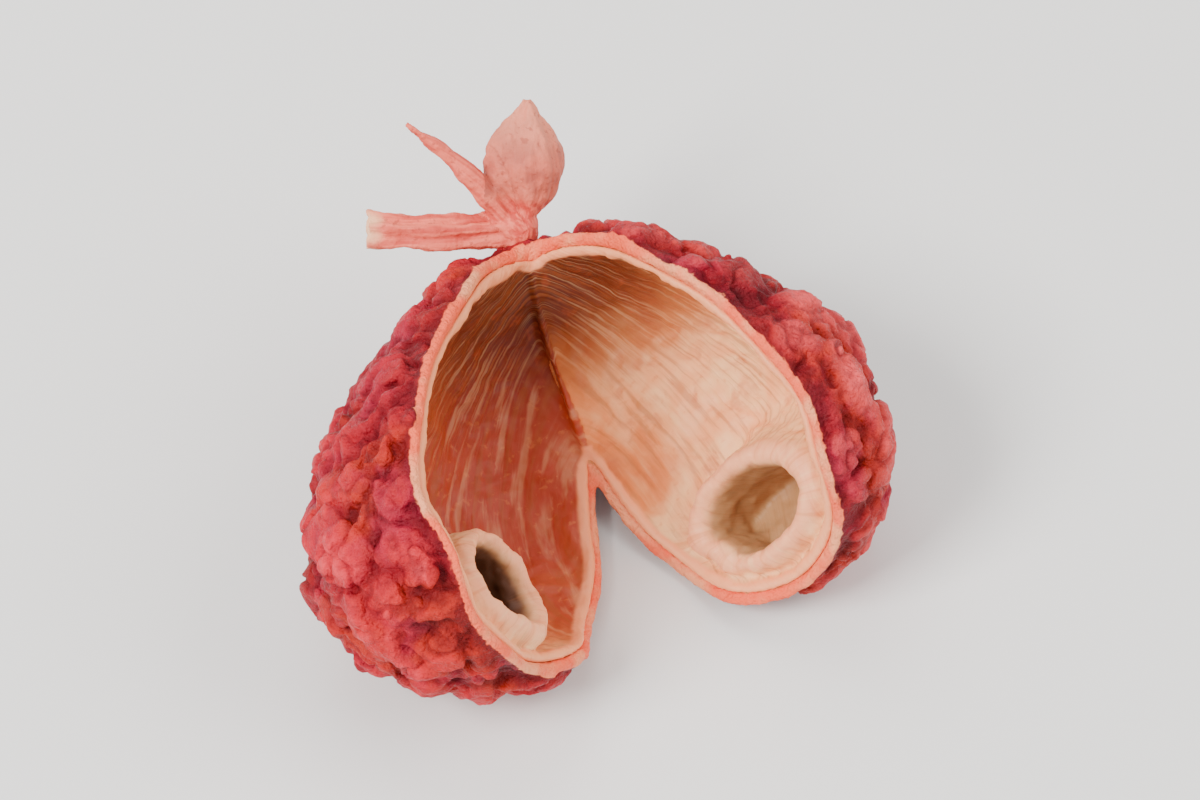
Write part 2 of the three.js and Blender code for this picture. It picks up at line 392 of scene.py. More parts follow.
def wallAt(share):
    return fruit["wall"] + (fruit["wallRim"] - fruit["wall"]) * np.minimum(share, 1) ** 4


# From the fruit's own axes to where it lies
def leanBack(points):
    tilt = math.radians(fruit["restTilt"])
    y = points[:, 1] * math.cos(tilt) - points[:, 2] * math.sin(tilt)
    z = points[:, 1] * math.sin(tilt) + points[:, 2] * math.cos(tilt)
    return np.stack([points[:, 0], y, z], axis=-1)


# The husk: the wall of the fruit, with oil glands that stand out as warts. Sizes in millimetres.
huskLook = {
    "around": 260,
    "rings": 70,
    "edgeRings": 5,
    "rimBulge": 0.012,
    "joinReach": 24,  # how many degrees further the wall reaches where the valves are joined
    "joinFrom": (0, 0.28),
    "skinInset": 0.03,  # the skin lies this much further in than the frame's, and the warts make it up
    "bareRim": 0.05,  # the share of the way from the rim where the relief fades out
    "rimEdge": (0.98, 0.998),  # the share of the way to the rim where its cut edge starts and is full
    "rimReach": (0.02, 0.05),  # how far off the sheet the edge fades
    "leastWart": 0.25,  # a wart with less room by the rim than this share of its size is left out
    "voxel": 0.025,
    "mostTriangles": 190000,
    "wartWidth": 0.25,
    "wartHeight": 0.115,
    "wartStretch": 0.3,
    "blisterSpacing": 0.2,
    "blisterWidth": 0.1,
    "blisterHeight": 0.06,
    "blisterRange": (0.6, 1.35),
    "blisterCrowd": 400.0,  # to the square millimetre, before they are spaced out
    "warpSize": 0.3,
    "warp": 0.13,
    "wrinkleSize": 0.14,
    "wrinkleHeight": 0.075,
    "creaseSize": 0.34,
    "creaseDepth": 0.045,
    "creaseWidth": 0.09,  # how near to zero the noise is in a crease
    "dentSize": 1.3,
    "dentDepth": 0.1,
    "crumbleSize": 0.16,
    "crumbleHeight": 0.035,
    "seed": 7,
}


# The same numbers as in the frame, so the warts are in the same places
def seededRandom(seed):
    state = seed
    while True:
        state = (state * 1664525 + 1013904223) % 4294967296
        yield state / 4294967296


# Each gland's place, the way it faces and its size, which is less where the rim is close
def glandPlaces(valve, sheet):
    draw = seededRandom(valve["seed"])
    golden = math.pi * (3 - math.sqrt(5))
    spacing = fruit["glandSpacing"]
    area = 2.2 * math.pi * valve["radius"] * fruit["valveLength"] / 2  # of the valve's skin, about
    toRim = valve["radius"] * math.radians(valve["rimAngle"])
    count = round(area / (0.87 * spacing ** 2))  # each has its share of a close packing
    glands = []
    for i in range(count):
        share, turn = np.array(math.sqrt((i + 0.5) / count)), np.array(golden * i)
        nudge = np.array([next(draw) - 0.5 for _ in range(3)]) * 0.5 * spacing
        out = -inward(valve, sheet, share, turn)
        nudge = nudge - nudge @ out * out
        centre = facePoint(valve, sheet, share, turn) + nudge
        room = ((1 - share) * toRim - np.linalg.norm(nudge)) / sheet["wartWidth"]
        glands.append((*centre, *out, min(0.75 + 0.5 * next(draw), room)))
    glands = np.array(glands)
    return glands[onOwnSide(valve, glands) & (glands[:, 6] > sheet["leastWart"])]


# A flattened dome over each gland, and smaller blisters on the skin between them
def wartTree():
    tree, sockets, given = newTree("warts and blisters", Object=["Glands"], Int=["Seed"], Float=[
        "Wart width", "Wart height", "Wart stretch", "Blister spacing", "Blister width", "Blister height",
    ])
    seed = given["Seed"]
    glands = addNode(tree, "GeometryNodeObjectInfo", {"Object": given["Glands"]}, out="Geometry")
    size, skin = (
        addNode(tree, "GeometryNodeInputNamedAttribute", {"Name": name}, out="Attribute")
        for name in ("size", "skin")
    )
    faces = addNode(tree, "GeometryNodeInputNamedAttribute", {"Name": "faces"}, out="Attribute",
                    data_type="FLOAT_VECTOR")
    upright = addNode(tree, "FunctionNodeAlignRotationToVector", {"Vector": faces}, axis="Z")
    fullSkin = addNode(tree, "FunctionNodeCompare", {0: skin, 1: 0.97}, operation="GREATER_THAN")
    blisters = addNode(tree, "GeometryNodeDistributePointsOnFaces", {
        "Mesh": given["Geometry"], "Selection": fullSkin, "Distance Min": given["Blister spacing"],
        "Density Max": huskLook["blisterCrowd"], "Seed": seed,
    }, out="Points", distribute_method="POISSON")
    lying = blisters.node.outputs["Rotation"]
    small, large = huskLook["blisterRange"]
    blisterSize = addNode(tree, "FunctionNodeRandomValue", {2: small, 3: large, "Seed": seed}, out=1)
    pull = addNode(tree, "FunctionNodeRandomValue", {2: 0.0, 3: given["Wart stretch"], "Seed": seed}, out=1)
    spin = addNode(tree, "FunctionNodeRandomValue", {2: 0.0, 3: 2 * math.pi, "Seed": seed}, out=1)
    about = addNode(tree, "ShaderNodeCombineXYZ", {"Z": spin})
    turn = addNode(tree, "FunctionNodeEulerToRotation", {"Euler": about})
    dome = addNode(tree, "GeometryNodeMeshIcoSphere", {"Radius": 1.0, "Subdivisions": 4}, out="Mesh")
    whole = addNode(tree, "GeometryNodeJoinGeometry", {"Geometry": given["Geometry"]})
    for label, points, facing, share in (
        ("Wart", glands, upright, size),
        ("Blister", blisters, lying, blisterSize),
    ):
        wide = addNode(tree, "ShaderNodeMath", {0: given[label + " width"], 1: share}, operation="MULTIPLY")
        tall = addNode(tree, "ShaderNodeMath", {0: given[label + " height"], 1: share}, operation="MULTIPLY")
        long = addNode(tree, "ShaderNodeMath", {0: wide, 1: pull, 2: wide}, operation="MULTIPLY_ADD")
        slim = addNode(tree, "ShaderNodeMath", {0: wide, 1: pull}, operation="MULTIPLY")
        narrow = addNode(tree, "ShaderNodeMath", {0: wide, 1: slim}, operation="SUBTRACT")
        scale = addNode(tree, "ShaderNodeCombineXYZ", {"X": long, "Y": narrow, "Z": tall})
        turned = addNode(tree, "FunctionNodeRotateRotation", {"Rotation": facing, "Rotate By": turn},
                         rotation_space="LOCAL")
        bumps = addNode(tree, "GeometryNodeInstanceOnPoints", {
            "Points": points, "Instance": dome, "Rotation": turned, "Scale": scale,
        })
        tree.links.new(bumps, whole.node.inputs["Geometry"])
    endTree(tree, whole, given["Material"])
    return tree, sockets


# What drying does to the skin: the warts pulled out of round, wrinkles, creases, broad dents, a ragged rim
def dryingTree():
    tree, sockets, given = newTree("dried skin", Float=[
        "Warp size", "Warp", "Wrinkle size", "Wrinkle height", "Crease size", "Crease depth",
        "Dent size", "Dent depth", "Crumble size", "Crumble height",
    ])
    skin, rim = (
        addNode(tree, "GeometryNodeInputNamedAttribute", {"Name": name}, out="Attribute")
        for name in ("skin", "rim")
    )
    normal = addNode(tree, "GeometryNodeInputNormal")
    position = addNode(tree, "GeometryNodeInputPosition")
    wrinkle = cloudOf(tree, given, "Wrinkle", position, 2.0)
    dent = cloudOf(tree, given, "Dent", position, 1.0)
    fold = cloudOf(tree, given, "Crease", position, 1.0)
    warp = cloudOf(tree, given, "Warp", position, 1.0, heights=False)
    crumble = cloudOf(tree, given, "Crumble", position, 2.0, heights=False)
    offFold = addNode(tree, "ShaderNodeMath", {0: fold}, operation="ABSOLUTE")
    crease = addNode(tree, "ShaderNodeMapRange", {
        0: offFold, 1: 0.0, 2: huskLook["creaseWidth"], 3: -1.0, 4: 0.0,
    }, interpolation_type="SMOOTHSTEP")
    lift = 0.0
    for shape, label in ((wrinkle, "Wrinkle height"), (crease, "Crease depth"), (dent, "Dent depth")):
        tall = given[label]
        lift = addNode(tree, "ShaderNodeMath", {0: shape, 1: tall, 2: lift}, operation="MULTIPLY_ADD")
    onSkin = addNode(tree, "ShaderNodeMath", {0: lift, 1: skin}, operation="MULTIPLY")
    offset = addNode(tree, "ShaderNodeVectorMath", {0: normal, "Scale": onSkin}, operation="SCALE")
    for pull, share, label in ((warp, skin, "Warp"), (crumble, rim, "Crumble height")):
        amount = addNode(tree, "ShaderNodeMath", {0: share, 1: given[label]}, operation="MULTIPLY")
        pulled = addNode(tree, "ShaderNodeVectorMath", {0: pull, "Scale": amount}, operation="SCALE")
        offset = addNode(tree, "ShaderNodeVectorMath", {0: offset, 1: pulled}, operation="ADD")
    dried = addNode(tree, "GeometryNodeSetPosition", {"Geometry": given["Geometry"], "Offset": offset})
    for name, value in (("crease", crease), ("wrinkle", wrinkle)):
        dried = addNode(tree, "GeometryNodeStoreNamedAttribute", {
            "Geometry": dried, "Name": name, "Value": value,
        }, data_type="FLOAT", domain="POINT")
    endTree(tree, dried, given["Material"])
    return tree, sockets


# Marks what is outer skin, rim and inside on the husk, and how far each point stands out
def markSkin(mesh, points, share, level):
    look = huskLook
    near = nearestOf(coordinates(mesh), points)
    share, level = share[near], level[near]
    away = np.linalg.norm(coordinates(mesh) - points[near], axis=1)
    skin = np.clip((1 - share) / look["bareRim"], 0, 1) * (level < 0.5)
    rim = smoothStep(share, *look["rimEdge"]) * (1 - smoothStep(away, *look["rimReach"]))
    for label, values, rounds in (
        ("skin", skin, 2),
        ("rim", rim, 3),
        ("inside", level, 2),
        ("wart", away / look["wartHeight"], 2),
    ):
        writeAttribute(mesh, label, blurred(mesh, values, rounds))


def makeHusk(material):
    look = huskLook

    def skinInset(share):
        return look["skinInset"] * (1 - np.minimum(share, 1) ** 4)

    sheet = {**look, "inset": skinInset, "thickness": lambda share: wallAt(share) - skinInset(share)}
    halves, known, shares, levels, glands = [], [], [], [], []
    for valve in valves:
        half, points, share, level = valveSheet(valve, sheet, "half")
        halves.append(trimAtMiddle(half, valve))
        own = onOwnSide(valve, points)
        known.append(points[own])
        shares.append(share[own])
        levels.append(level[own])
        glands.append(glandPlaces(valve, sheet))
    husk = combine(halves[0], halves[1], "UNION")
    husk.name = "husk_rind"
    sheetMarks = np.concatenate(known), np.concatenate(shares), np.concatenate(levels)
    glands = np.concatenate(glands)
    markSkin(husk.data, *sheetMarks)
    places = meshObject("glands", glands[:, :3], [])
    facing = places.data.attributes.new("faces", "FLOAT_VECTOR", "POINT")
    facing.data.foreach_set("vector", glands[:, 3:6].ravel())
    writeAttribute(places.data, "size", glands[:, 6])
    grow(husk, wartTree(), {**look, "glands": places, "material": material})
    bake(husk)
    bpy.data.objects.remove(places)
    evenMesh(husk, look["voxel"], 2)
    markSkin(husk.data, *sheetMarks)
    draw = seededRandom(look["seed"])
    tones = np.array([next(draw) for _ in glands])
    gland = nearestOf(coordinates(husk.data), glands[:, :3])
    writeAttribute(husk.data, "tone", blurred(husk.data, tones[gland], 2))
    grow(husk, dryingTree(), {**look, "material": material})
    bake(husk)
    return thinMesh(husk, look["mostTriangles"])


# The lining: a papery layer, rolled into an open mouth near each tip. Sizes in millimetres.
liningLook = {
    "around": 220,
    "rings": 56,
    "edgeRings": 5,
    "rimBulge": 0.012,
    "joinReach": 34,
    "joinFrom": (0.05, 0.45),
    "gap": 0.004,
    "thickness": 0.13,
    "rim": 0.075,
    "rimEdge": (0.955, 0.985),
    "hollowTop": -0.1,  # the rolled mouths may stand this far out of the opening, as a depth
    "voxel": 0.025,
    "mostTriangles": 160000,
    "rippleSize": 0.55,
    "rippleHeight": 0.12,
    "crinkleSize": 0.17,
    "crinkleHeight": 0.055,
    "fibreSize": 0.07,
    "fibreHeight": 0.03,
    "fibreStretch": 0.12,
    "pleatSize": 0.42,  # across a pleat at the mouth, as a share of the mouth's radius
    "pleatHeight": 0.075,
    "curlStep": 0.24,  # the share by which the roll closes in, once round the mouth
    "curlSides": 160,
    "curlSteps": 7,
    # distances from the middle of the mouth: its edge, its lip, and where its pleats begin and end
    "mouthEdge": (0.39, 0.46),
    "lip": 0.47,
    "lipWidth": 0.1,
    "pleatsFrom": (0.3, 0.45),
    "pleatsTo": (0.6, 0.95),
    # distance from the middle of the mouth, and depth as a share of the hollow's
    "curlInside": [(0, 0.82), (0.2, 0.8), (0.3, 0.66), (0.34, 0.36), (0.36, 0.12), (0.4, 0.03), (0.47, 0)],
    "curlOutside": [
        (0.47, 0), (0.54, 0.05), (0.62, 0.22), (0.76, 0.46), (0.96, 0.7), (1.2, 0.95), (1.3, 1.3),
    ],
}


# The roll closes in by this share at an angle round the mouth, and its free edge lies down softly
def rolledAt(angle, curl):
    rolled = ((angle - math.radians(curl["start"])) % (2 * np.pi)) / (2 * np.pi)
    return rolled - smoothStep(rolled, 0.9, 1.0)


def makeCurl(valve, sheet):
    curl, sides = valve["curl"], liningLook["curlSides"]
    inside = smoothLine(liningLook["curlInside"], liningLook["curlSteps"])
    outside = smoothLine(liningLook["curlOutside"], liningLook["curlSteps"])[1:]
    outline = np.vstack([inside, outside])
    angle = np.arange(sides) / sides * 2 * np.pi
    closed = rolledAt(angle, curl)
    lean = math.radians(curl["turn"])
    rings = []
    for out, depth in outline[1:]:
        radius = curl["size"] * out * (1 - liningLook["curlStep"] * closed)
        u, v = radius * np.sin(angle), curl["width"] * radius * np.cos(angle)
        place = curl["place"] + (u * math.cos(lean) - v * math.sin(lean)) / (fruit["valveLength"] / 2)
        across = curl["across"] + (u * math.sin(lean) + v * math.cos(lean)) / valve["radius"]
        rings.append(inValve(valve, place, across, depth + 0 * u, 0))
    ends = [rings[0].mean(axis=0), rings[-1].mean(axis=0)]
    points = np.vstack([ends[:1], *rings, ends[1:]])
    shape = outward(meshObject("curl", points, ringFaces(len(rings), sides, len(points) - 1)))
    hollow = valveSheet(valve, sheet, "hollow", toOpening=True)[0]
    return combine(shape, hollow, "INTERSECT"), np.vstack(rings)


# Ripples, crinkles, fibres from stalk to tip, and pleats straight out of each mouth
def crinkleTree():
    tree, sockets, given = newTree("paper crinkles", Float=[
        "Ripple size", "Ripple height", "Crinkle size", "Crinkle height",
        "Fibre size", "Fibre height", "Fibre stretch", "Pleat size", "Pleat height",
    ])
    meridian, place, free, pleated, spokeX, spokeY = (
        addNode(tree, "GeometryNodeInputNamedAttribute", {"Name": name}, out="Attribute")
        for name in ("meridian", "place", "free", "pleated", "spokeX", "spokeY")
    )
    slow = addNode(tree, "ShaderNodeMath", {0: place, 1: given["Fibre stretch"]}, operation="MULTIPLY")
    lengthwise = addNode(tree, "ShaderNodeCombineXYZ", {"X": meridian, "Y": slow})
    spokes = addNode(tree, "ShaderNodeCombineXYZ", {"X": spokeX, "Y": spokeY})
    position = addNode(tree, "GeometryNodeInputPosition")
    lift = 0.0
    for label, where, bend, share in (
        ("Ripple", position, 0.8, 1.0),
        ("Crinkle", position, 0.3, 1.0),
        ("Fibre", lengthwise, 0.3, 1.0),
        ("Pleat", spokes, 0.5, pleated),
    ):
        even = cloudOf(tree, given, label, where, 2.0, bend)
        tall = addNode(tree, "ShaderNodeMath", {0: share, 1: given[label + " height"]}, operation="MULTIPLY")
        lift = addNode(tree, "ShaderNodeMath", {0: even, 1: tall, 2: lift}, operation="MULTIPLY_ADD")
    onFree = addNode(tree, "ShaderNodeMath", {0: lift, 1: free}, operation="MULTIPLY")
    liftSkin(tree, given["Geometry"], onFree, given["Material"])
    return tree, sockets


# Where points lie in a valve: inValve the other way round
def placeIn(valve, points):
    roll = math.radians(valve["roll"])
    place = -points[:, 1] / (fruit["valveLength"] / 2)
    out, rise, radius = spineAt(valve, place)
    y = (valve["side"] * points[:, 0] - out) / radius
    z = (points[:, 2] - rise) / radius
    return place, y * math.cos(roll) + z * math.sin(roll), y * math.sin(roll) - z * math.cos(roll)


# How far a point of a valve is from the middle of its mouth, as the mouth's outline counts it, and in
# which direction
def fromMouth(valve, place, across):
    curl = valve["curl"]
    along = (place - curl["place"]) * fruit["valveLength"] / 2
    aside = (across - curl["across"]) * valve["radius"]
    lean = math.radians(curl["turn"])
    u = along * math.cos(lean) + aside * math.sin(lean)
    v = (aside * math.cos(lean) - along * math.sin(lean)) / curl["width"]
    angle = np.arctan2(u, v)
    return np.hypot(u, v) / (curl["size"] * (1 - liningLook["curlStep"] * rolledAt(angle, curl))), angle


# How stained the paper is at a point of a valve: 0 is clean, 1 is brown
def stainAt(valve, place, across):
    stain = valve["stain"]
    fromStalk = 1 - smoothStep(place, *stain["place"])
    fromBack = 1 - smoothStep(across, *stain["across"])
    clean = 1 - smoothStep(fromMouth(valve, place, across)[0], 0.8 * stain["clear"], 1.25 * stain["clear"])
    return np.maximum(fromStalk, 0.75 * fromBack) * (1 - clean)


# Writes on each point of the lining where it lies, for the crinkles and the colours
def markPaper(mesh):
    look = liningLook
    points = coordinates(mesh)
    marks = {}
    for valve in valves:
        own = valve["side"] * points[:, 0] >= 0
        place, across, depth = placeIn(valve, points[own])
        mouthAway, angle = fromMouth(valve, place, across)
        onLip = np.exp(-((mouthAway - look["lip"]) / look["lipWidth"]) ** 2)
        pleated = smoothStep(mouthAway, *look["pleatsFrom"]) * (1 - smoothStep(mouthAway, *look["pleatsTo"]))
        for label, values in {
            "place": place,
            "across": across,
            "meridian": across / np.sqrt(np.maximum(1 - place * place, 0.08)),
            # inside a rolled mouth, where the paper gets painted shade
            "mouth": (1 - smoothStep(mouthAway, *look["mouthEdge"])) * smoothStep(depth, 0.0, 0.14),
            "lip": onLip * (1 - smoothStep(depth, 0.1, 0.25)),
            "stain": stainAt(valve, place, across),
            "left": float(valve["side"] < 0),
            "spokeX": np.cos(angle),
            "spokeY": np.sin(angle),
            "pleated": pleated,
        }.items():
            marks.setdefault(label, np.zeros(len(points)))[own] = values
    for label, values in marks.items():
        writeAttribute(mesh, label, blurred(mesh, values, 2))


def makeLining(material):
    look = liningLook
    sheet = {
        **look,
        "inset": lambda share: wallAt(share) + look["gap"],
        "thickness": lambda share: look["thickness"] + (look["rim"] - look["thickness"]) * share,
    }
    halves, known, values = [], [], []
    for valve in valves:
        half, points, share, level = valveSheet(valve, sheet, "half")
        curl, curlPoints = makeCurl(valve, sheet)
        combine(half, curl, "UNION")
        halves.append(trimAtMiddle(half, valve))
        own = onOwnSide(valve, points)
        known += [points[own], curlPoints]
        values += [np.stack([smoothStep(share, *look["rimEdge"]), level], axis=-1)[own]]
        values += [np.tile([0.0, 1.0], (len(curlPoints), 1))]
    lining = combine(halves[0], halves[1], "UNION")
    lining.name = "papery_lining"
    evenMesh(lining, look["voxel"], 2)
    values = np.concatenate(values)[nearestOf(coordinates(lining.data), np.concatenate(known))]
    for i, label in enumerate(("rim", "free")):
        writeAttribute(lining.data, label, blurred(lining.data, values[:, i], 4))
    markPaper(lining.data)
    grow(lining, crinkleTree(), {**look, "material": material})
    bake(lining)
    return thinMesh(lining, look["mostTriangles"])


# The stalk end: a stub of stalk, the knob it ends in, a small dried fruit and a thin scale.
# Sizes in millimetres, turns in degrees.
stalkLook = {
    "knobRadius": 0.18,
    "knobSwell": 1.12,
    "knobGap": 0.03,
    "knobRise": 0.02,
    "stub": {"width": 0.3, "length": 1.25, "flatness": 0.9, "ridges": 6.0, "ridgeDepth": 0.02},
    "bud": {
        "width": 0.68, "length": 0.95, "turn": -23, "flatness": 0.5 / 0.68,
        "ridges": 4.0, "ridgeDepth": 0.02,
    },
    "scale": {
        "width": 0.2, "length": 1.25, "turn": 36, "flatness": 0.6, "ridges": 3.0, "ridgeDepth": 0.012,
    },
    "neck": {"width": 0.36, "flatness": 1.0, "ridges": 5.0, "ridgeDepth": 0.015},
    # share of the way along, and share of the full half width
    "outlines": {
        "stub": [(0, 1.3), (0.12, 1.05), (0.3, 0.95), (0.5, 1.04), (0.72, 0.94), (0.9, 1.02), (1, 1.12)],
        "bud": [(0, 0.45), (0.06, 0.58), (0.2, 0.83), (0.42, 1), (0.62, 0.86), (0.82, 0.46), (1, 0.06)],
        "scale": [(0, 0.9), (0.1, 1), (0.4, 0.85), (0.8, 0.45), (1, 0.08)],
        "neck": [(0, 1.0), (0.5, 0.8), (1, 0.75)],
    },
    "leanBack": 56,  # of the bud and the scale
    "brokenEnd": (0.08, 0.26),  # how far from the stub's tip its broken look is full and ends
    "steps": 60,
    "voxel": 0.014,
    "mostTriangles": 60000,
    "furrowSize": 0.1,
    "furrowHeight": 0.05,
    "puckerSize": 0.2,
    "puckerHeight": 0.07,
}


# Sweeps a ridged section along a path whose points carry its radius
def stemTree():
    tree, sockets, given = newTree("ridged stem", Int=["Steps"], Float=[
        "Radius", "Ridges", "Ridge depth", "Flatness",
    ])
    path = addNode(tree, "GeometryNodeResampleCurve", {"Curve": given["Geometry"], "Count": given["Steps"]})
    radius = addNode(tree, "GeometryNodeInputRadius")
    section = addNode(tree, "GeometryNodeCurvePrimitiveCircle", {
        "Resolution": 64, "Radius": given["Radius"],
    })
    squash = addNode(tree, "ShaderNodeCombineXYZ", {"X": 1.0, "Y": given["Flatness"], "Z": 1.0})
    flat = addNode(tree, "GeometryNodeTransform", {"Geometry": section, "Scale": squash})
    factor = addNode(tree, "GeometryNodeSplineParameter", out="Factor")
    marked = addNode(tree, "GeometryNodeStoreNamedAttribute", {
        "Geometry": flat, "Name": "around", "Value": factor,
    }, data_type="FLOAT", domain="POINT")
    tube = addNode(tree, "GeometryNodeCurveToMesh", {
        "Curve": path, "Profile Curve": marked, "Scale": radius, "Fill Caps": True,
    })
    around = addNode(tree, "GeometryNodeInputNamedAttribute", {"Name": "around"}, out="Attribute")
    turns = addNode(tree, "ShaderNodeMath", {0: around, 1: 2 * math.pi}, operation="MULTIPLY")
    angle = addNode(tree, "ShaderNodeMath", {0: turns, 1: given["Ridges"]}, operation="MULTIPLY")
    wave = addNode(tree, "ShaderNodeMath", {0: angle}, operation="SINE")
    lift = addNode(tree, "ShaderNodeMath", {0: wave, 1: given["Ridge depth"]}, operation="MULTIPLY")
    liftSkin(tree, tube, lift, given["Material"])
    return tree, sockets


# One part of the stalk end, swept along its path with its own outline
def sweep(grown, name, path, material):
    look = stalkLook[name]
    line = smoothLine(stalkLook["outlines"][name], 8)
    radii = np.interp(np.linspace(0, 1, len(path)), line[:, 0], line[:, 1])
    curve = bpy.data.curves.new(name, "CURVE")
    curve.dimensions = "3D"
    spline = curve.splines.new("POLY")
    spline.points.add(len(path) - 1)
    for point, place, radius in zip(spline.points, path, radii):
        point.co = (*place, 1)
        point.radius = radius
    thing = addObject(name, curve)
    grow(thing, grown, {
        **look, "radius": look["width"] / 2, "steps": stalkLook["steps"], "material": material,
    })
    mesh = plainMesh(thing)
    bpy.data.objects.remove(thing)
    return addObject(name, mesh)


# Where the bark's pattern is read for each point: true across the stem, and drawn out along it
def alongStem(points, paths):
    ways = np.concatenate([np.gradient(path, axis=0) for path in paths])
    steps = np.linalg.norm(ways, axis=1)
    lengths = np.concatenate([np.arange(len(path)) for path in paths]) * steps
    near = nearestOf(points, np.concatenate(paths))
    way = (ways / steps[:, None])[near]
    away = points - np.concatenate(paths)[near]
    along = np.einsum("ij,ij->i", away, way)
    aside = away - along[:, None] * way
    aside[:, 0] += (lengths[near] + along) * woodLook["grainStretch"]
    return aside


# What drying does to the stalk end: furrows along it and shallow puckers
def barkTree():
    tree, sockets, given = newTree("dried bark", Float=[
        "Furrow size", "Furrow height", "Pucker size", "Pucker height",
    ])
    lengthwise = addNode(tree, "GeometryNodeInputNamedAttribute", {"Name": "lengthwise"}, out="Attribute",
                         data_type="FLOAT_VECTOR")
    position = addNode(tree, "GeometryNodeInputPosition")
    lift = 0.0
    for label, where in (("Furrow", lengthwise), ("Pucker", position)):
        even = cloudOf(tree, given, label, where, 2.0)
        lift = addNode(tree, "ShaderNodeMath", {0: even, 1: given[label + " height"], 2: lift},
                       operation="MULTIPLY_ADD")
    liftSkin(tree, given["Geometry"], lift, given["Material"])
    return tree, sockets


def makeStalk(material):
    look, bud, scale = stalkLook, stalkLook["bud"], stalkLook["scale"]
    end, length = fruit["valveLength"] / 2, look["stub"]["length"]
    seat = np.array([0, end + look["knobRadius"] + look["knobGap"], look["knobRise"]])

    def upright(turn):
        lean, swing = math.radians(look["leanBack"]), math.radians(turn)
        back = math.sin(lean)
        return np.array([-math.sin(swing) * back, math.cos(swing) * back, math.cos(lean)])

    tip = seat + np.array([-0.93 * length, 0.4, 0.06])
    budWay, scaleWay = upright(bud["turn"]), upright(scale["turn"])
    budRoot = seat + np.array([0.08, 0.08, 0.08])
    scaleRoot = seat + np.array([-0.06, 0.05, 0.1])
    scaleBend = np.array([0.05, 0.0, 0.06])
    along = scale["length"] * scaleWay
    paths = {
        "stub": smoothLine([seat, seat + np.array([-0.5 * length, 0.16, 0.08]), tip], 30),
        "bud": smoothLine([budRoot, budRoot + bud["length"] * budWay], 40),
        "scale": smoothLine([scaleRoot, scaleRoot + 0.5 * along + scaleBend, scaleRoot + along], 30),
        "neck": smoothLine([seat, np.array([0, end - 0.05, look["knobRise"] - 0.12])], 20),
    }
    grown = stemTree()
    parts = [sweep(grown, name, path, material) for name, path in paths.items()]
    whole = bmesh.new()
    bmesh.ops.create_icosphere(whole, subdivisions=4, radius=look["knobRadius"] * look["knobSwell"])
    bmesh.ops.translate(whole, verts=whole.verts, vec=Vector(seat))
    for part in parts:
        whole.from_mesh(part.data)
    stalk = parts[0]
    whole.to_mesh(stalk.data)
    whole.free()
    for part in parts[1:]:
        bpy.data.objects.remove(part)
    stalk.name = "dry_stalk"
    evenMesh(stalk, look["voxel"], 3)  # one skin over all of them
    points = coordinates(stalk.data)
    away = np.linalg.norm(points - tip, axis=1)
    writeAttribute(stalk.data, "broken", 1 - smoothStep(away, *look["brokenEnd"]))
    fromRoot = points - budRoot
    up = fromRoot @ budWay
    aside = np.linalg.norm(fromRoot - up[:, None] * budWay, axis=1)
    near = (aside < bud["width"] * 0.6) * (points[:, 0] > budRoot[0] - 0.3)
    writeAttribute(stalk.data, "bud", smoothStep(up, 0.02, 0.25) * near)
    writeAttribute(stalk.data, "budUp", up / bud["length"])
    layer = stalk.data.attributes.new("lengthwise", "FLOAT_VECTOR", "POINT")
    layer.data.foreach_set("vector", alongStem(points, list(paths.values())).ravel())
    stalk.data.materials.clear()
    grow(stalk, barkTree(), {**look, "material": material})
    bake(stalk)
    return thinMesh(stalk, look["mostTriangles"])


# Materials
def newMaterial(name):
    material = bpy.data.materials.new(name)
    material.use_nodes = True
    material.node_tree.nodes.clear()
    return material, material.node_tree


# Coats of colour over a base. Each row is what decides a coat, where it starts and is full, how strong it
# gets, and its colour.
def coats(tree, base, look, rows):
    for mask, start, full, strength, tint in rows:
        amount = addNode(tree, "ShaderNodeMapRange", {0: mask, 1: start, 2: full, 3: 0.0, 4: strength},
                         interpolation_type="SMOOTHSTEP")
        base = addNode(tree, "ShaderNodeMix", {0: amount, 6: base, 7: colour(look[tint])}, out=2,
                       data_type="RGBA")
    return base


# Ends a material: fine relief from heights, light that goes in as deep as the look says, and the rest
def endMaterial(tree, look, heights, strength, inputs):
    relief = addNode(tree, "ShaderNodeBump", {
        "Strength": strength, "Distance": look["reliefHeight"] * metresPerMm, "Height": heights,
    })
    shader = addNode(tree, "ShaderNodeBsdfPrincipled", {
        **inputs, "Normal": relief, "Subsurface Scale": look["lightDepth"] * metresPerMm,
    })
    addNode(tree, "ShaderNodeOutputMaterial", {"Surface": shader})


# Dried rind: crimson skin, coral on top of the warts as paler tissue and painted highlight, with painted
# shade in the creases, only faintly oily
rindLook = {
    "crimson": "#9c1424",
    "orange": "#b82a16",
    "rose": "#a81a38",
    # the paler tops of the warts: partly their own paler tissue, partly a painted highlight
    "wartTopAndHighlight": "#d6202e",
    "palestTopAndHighlight": "#f64c56",
    # paler coral on the raised tops, the more so the further to the right
    "paleOnRightTops": "#f06c66",
    "darkGland": "#640814",
    # painted shade: the deep red in the creases and in the low places between the warts
    "crease": "#4c0610",
    # used for the real specks, and also as painted shade in the fine grooves between the pebbles
    "speck": "#6a0c18",
    "innerWall": "#d98a58",
    "rimSalmon": "#ff6644",
    "rimCream": "#ffa072",
    # sizes in millimetres
    "patchSize": 1.2,
    "blushSize": 0.5,
    "pebbleSize": 0.1,
    "pebbleBend": 0.3,
    "speckSize": 0.05,
    "grainSize": 0.03,
    "reliefHeight": 0.04,
    "lightDepth": 0.2,
    "paleFrom": 0.9,  # how far to the right of the middle the skin is at its palest
}


